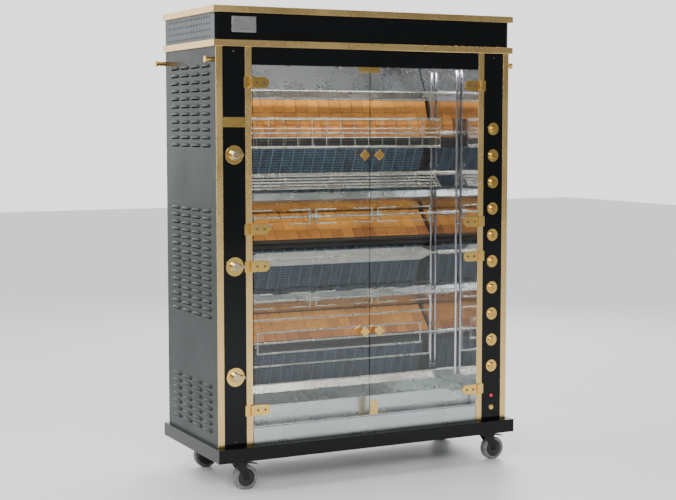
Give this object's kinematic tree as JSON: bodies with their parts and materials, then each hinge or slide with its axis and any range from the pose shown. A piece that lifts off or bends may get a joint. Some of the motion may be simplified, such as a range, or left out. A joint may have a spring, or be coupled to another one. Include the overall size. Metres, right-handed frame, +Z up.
{
  "type": "rotisserie oven",
  "caption": "Floor-standing gas rotisserie oven on castors, with motor-driven spits before firebrick burners, glass doors, grease drawer and turning knobs.",
  "frame": {"origin": "on the floor, under the middle of the plinth", "axes": "+X to the user's right, +Y to the back, +Z up"},
  "size_m": [1.474, 0.628, 1.928],
  "materials": {
    "black_enamel": "satin enamel",
    "side_enamel": "satin enamel",
    "grey_grille": "satin enamel",
    "brass": "lacquered",
    "hinge_brass": "polished",
    "stainless": "brushed",
    "polished_steel": "polished",
    "cast_iron": "raw",
    "firebrick": "matte",
    "radiant_ceramic": "matte",
    "motor_cast": "cast",
    "pipe_steel": "zinc plated",
    "lamp_red": "clear gloss",
    "door_glass": "clear",
    "knob_steel": "satin",
    "knob_gold": "polished",
    "spit_steel": "polished",
    "castor_steel": "black zinc",
    "castor_tread": "matte"
  },
  "bodies": {
    "cabinet": {"plinth": "black_enamel", "side_panels": "side_enamel", "back_and_roof_panels": "black_enamel", "front_panels": "black_enamel", "cornice_grilles": "grey_grille", "brass_trim": "brass", "cavity_liner": "stainless", "drip_pan": "stainless", "burner_boxes": "cast_iron", "firebricks": "firebrick", "radiant_plates": "radiant_ceramic", "deflectors": "stainless", "gas_train": "pipe_steel", "door_hardware": "hinge_brass", "spit_supports": "polished_steel", "spit_motors": "motor_cast", "rosettes": "brass", "indicator_lamp": "lamp_red", "castor_plates": "pipe_steel"},
    "door_lower_left": {"glass_lower_left": "door_glass", "fittings_lower_left": "hinge_brass"},
    "door_lower_right": {"glass_lower_right": "door_glass", "fittings_lower_right": "hinge_brass"},
    "door_upper_left": {"glass_upper_left": "door_glass", "fittings_upper_left": "hinge_brass"},
    "door_upper_right": {"glass_upper_right": "door_glass", "fittings_upper_right": "hinge_brass"},
    "drawer": {"grease_drawer": "stainless"},
    "gas_knob_upper": {"gas_knob_upper": "knob_steel"},
    "gas_knob_middle": {"gas_knob_middle": "knob_steel"},
    "gas_knob_lower": {"gas_knob_lower": "knob_steel"},
    "switch_knob_01": {"switch_knob_01": "knob_gold"},
    "switch_knob_02": {"switch_knob_02": "knob_gold"},
    "switch_knob_03": {"switch_knob_03": "knob_gold"},
    "switch_knob_04": {"switch_knob_04": "knob_gold"},
    "switch_knob_05": {"switch_knob_05": "knob_gold"},
    "switch_knob_06": {"switch_knob_06": "knob_gold"},
    "switch_knob_07": {"switch_knob_07": "knob_gold"},
    "switch_knob_08": {"switch_knob_08": "knob_gold"},
    "switch_knob_09": {"switch_knob_09": "knob_gold"},
    "switch_knob_10": {"switch_knob_10": "knob_gold"},
    "push_button": {"push_button": "brass"},
    "spit_1": {"spit_1": "spit_steel"},
    "spit_2": {"spit_2": "spit_steel"},
    "spit_3": {"spit_3": "spit_steel"},
    "spit_4": {"spit_4": "spit_steel"},
    "spit_5": {"spit_5": "spit_steel"},
    "spit_6": {"spit_6": "spit_steel"},
    "spit_7": {"spit_7": "spit_steel"},
    "spit_8": {"spit_8": "spit_steel"},
    "swivel_front_left": {"castor_fork_front_left": "castor_steel"},
    "wheel_front_left": {"castor_wheel_front_left": "castor_tread"},
    "brake_pedal_front_left": {"brake_pedal_front_left": "castor_steel"},
    "swivel_front_right": {"castor_fork_front_right": "castor_steel"},
    "wheel_front_right": {"castor_wheel_front_right": "castor_tread"},
    "brake_pedal_front_right": {"brake_pedal_front_right": "castor_steel"},
    "swivel_rear_left": {"castor_fork_rear_left": "castor_steel"},
    "wheel_rear_left": {"castor_wheel_rear_left": "castor_tread"},
    "swivel_rear_right": {"castor_fork_rear_right": "castor_steel"},
    "wheel_rear_right": {"castor_wheel_rear_right": "castor_tread"}
  },
  "joints": [
    {"name": "door_lower_left", "type": "hinge", "parent": "cabinet", "child": "door_lower_left", "pos_m": [-0.534, -0.279, 0.61073], "axis": [0, 0, -1], "range_deg": [0, 110]},
    {"name": "door_lower_right", "type": "hinge", "parent": "cabinet", "child": "door_lower_right", "pos_m": [0.534, -0.279, 0.61073], "axis": [0, 0, 1], "range_deg": [0, 110]},
    {"name": "door_upper_left", "type": "hinge", "parent": "cabinet", "child": "door_upper_left", "pos_m": [-0.534, -0.279, 1.34058], "axis": [0, 0, -1], "range_deg": [0, 110]},
    {"name": "door_upper_right", "type": "hinge", "parent": "cabinet", "child": "door_upper_right", "pos_m": [0.534, -0.279, 1.34058], "axis": [0, 0, 1], "range_deg": [0, 110]},
    {"name": "drawer_slide", "type": "slide", "parent": "cabinet", "child": "drawer", "axis": [0, -1, 0], "range_m": [0, 0.4]},
    {"name": "gas_knob_upper", "type": "hinge", "parent": "cabinet", "child": "gas_knob_upper", "pos_m": [-0.604, -0.269, 1.346], "axis": [0, -1, 0], "range_deg": [0, 180]},
    {"name": "gas_knob_middle", "type": "hinge", "parent": "cabinet", "child": "gas_knob_middle", "pos_m": [-0.604, -0.269, 0.904], "axis": [0, -1, 0], "range_deg": [0, 180]},
    {"name": "gas_knob_lower", "type": "hinge", "parent": "cabinet", "child": "gas_knob_lower", "pos_m": [-0.604, -0.269, 0.461], "axis": [0, -1, 0], "range_deg": [0, 180]},
    {"name": "switch_01", "type": "hinge", "parent": "cabinet", "child": "switch_knob_01", "pos_m": [0.604, -0.269, 1.448], "axis": [0, 1, 0], "range_deg": [0, 90]},
    {"name": "switch_02", "type": "hinge", "parent": "cabinet", "child": "switch_knob_02", "pos_m": [0.604, -0.269, 1.3335], "axis": [0, 1, 0], "range_deg": [0, 90]},
    {"name": "switch_03", "type": "hinge", "parent": "cabinet", "child": "switch_knob_03", "pos_m": [0.604, -0.269, 1.219], "axis": [0, 1, 0], "range_deg": [0, 90]},
    {"name": "switch_04", "type": "hinge", "parent": "cabinet", "child": "switch_knob_04", "pos_m": [0.604, -0.269, 1.1045], "axis": [0, 1, 0], "range_deg": [0, 90]},
    {"name": "switch_05", "type": "hinge", "parent": "cabinet", "child": "switch_knob_05", "pos_m": [0.604, -0.269, 0.99], "axis": [0, 1, 0], "range_deg": [0, 90]},
    {"name": "switch_06", "type": "hinge", "parent": "cabinet", "child": "switch_knob_06", "pos_m": [0.604, -0.269, 0.8755], "axis": [0, 1, 0], "range_deg": [0, 90]},
    {"name": "switch_07", "type": "hinge", "parent": "cabinet", "child": "switch_knob_07", "pos_m": [0.604, -0.269, 0.761], "axis": [0, 1, 0], "range_deg": [0, 90]},
    {"name": "switch_08", "type": "hinge", "parent": "cabinet", "child": "switch_knob_08", "pos_m": [0.604, -0.269, 0.6465], "axis": [0, 1, 0], "range_deg": [0, 90]},
    {"name": "switch_09", "type": "hinge", "parent": "cabinet", "child": "switch_knob_09", "pos_m": [0.604, -0.269, 0.532], "axis": [0, 1, 0], "range_deg": [0, 90]},
    {"name": "switch_10", "type": "hinge", "parent": "cabinet", "child": "switch_knob_10", "pos_m": [0.604, -0.269, 0.4175], "axis": [0, 1, 0], "range_deg": [0, 90]},
    {"name": "igniter_button", "type": "slide", "parent": "cabinet", "child": "push_button", "axis": [0, 1, 0], "range_m": [0, 0.003], "stiffness_N_per_m": 400},
    {"name": "spit_1_turn", "type": "hinge", "parent": "cabinet", "child": "spit_1", "pos_m": [0, -0.009, 1.607], "axis": [1, 0, 0], "continuous": true},
    {"name": "spit_2_turn", "type": "hinge", "parent": "cabinet", "child": "spit_2", "pos_m": [0, -0.009, 1.43004], "axis": [1, 0, 0], "continuous": true},
    {"name": "spit_3_turn", "type": "hinge", "parent": "cabinet", "child": "spit_3", "pos_m": [0, -0.009, 1.25309], "axis": [1, 0, 0], "continuous": true},
    {"name": "spit_4_turn", "type": "hinge", "parent": "cabinet", "child": "spit_4", "pos_m": [0, -0.009, 1.07613], "axis": [1, 0, 0], "continuous": true},
    {"name": "spit_5_turn", "type": "hinge", "parent": "cabinet", "child": "spit_5", "pos_m": [0, -0.009, 0.89917], "axis": [1, 0, 0], "continuous": true},
    {"name": "spit_6_turn", "type": "hinge", "parent": "cabinet", "child": "spit_6", "pos_m": [0, -0.009, 0.72221], "axis": [1, 0, 0], "continuous": true},
    {"name": "spit_7_turn", "type": "hinge", "parent": "cabinet", "child": "spit_7", "pos_m": [0, -0.009, 0.54526], "axis": [1, 0, 0], "continuous": true},
    {"name": "spit_8_turn", "type": "hinge", "parent": "cabinet", "child": "spit_8", "pos_m": [0, -0.009, 0.3683], "axis": [1, 0, 0], "continuous": true},
    {"name": "swivel_front_left", "type": "hinge", "parent": "cabinet", "child": "swivel_front_left", "pos_m": [-0.59, -0.254, 0.125], "axis": [0, 0, 1], "continuous": true},
    {"name": "wheel_front_left", "type": "hinge", "parent": "swivel_front_left", "child": "wheel_front_left", "pos_m": [-0.56, -0.254, 0.05], "axis": [0, 1, 0], "continuous": true},
    {"name": "pedal_front_left", "type": "hinge", "parent": "swivel_front_left", "child": "brake_pedal_front_left", "pos_m": [-0.558, -0.254, 0.11], "axis": [0, 1, 0], "range_deg": [0, 15]},
    {"name": "swivel_front_right", "type": "hinge", "parent": "cabinet", "child": "swivel_front_right", "pos_m": [0.59, -0.254, 0.125], "axis": [0, 0, 1], "continuous": true},
    {"name": "wheel_front_right", "type": "hinge", "parent": "swivel_front_right", "child": "wheel_front_right", "pos_m": [0.62, -0.254, 0.05], "axis": [0, 1, 0], "continuous": true},
    {"name": "pedal_front_right", "type": "hinge", "parent": "swivel_front_right", "child": "brake_pedal_front_right", "pos_m": [0.622, -0.254, 0.11], "axis": [0, 1, 0], "range_deg": [0, 15]},
    {"name": "swivel_rear_left", "type": "hinge", "parent": "cabinet", "child": "swivel_rear_left", "pos_m": [-0.59, 0.176, 0.125], "axis": [0, 0, 1], "continuous": true},
    {"name": "wheel_rear_left", "type": "hinge", "parent": "swivel_rear_left", "child": "wheel_rear_left", "pos_m": [-0.56, 0.176, 0.05], "axis": [0, 1, 0], "continuous": true},
    {"name": "swivel_rear_right", "type": "hinge", "parent": "cabinet", "child": "swivel_rear_right", "pos_m": [0.59, 0.176, 0.125], "axis": [0, 0, 1], "continuous": true},
    {"name": "wheel_rear_right", "type": "hinge", "parent": "swivel_rear_right", "child": "wheel_rear_right", "pos_m": [0.62, 0.176, 0.05], "axis": [0, 1, 0], "continuous": true}
  ]
}
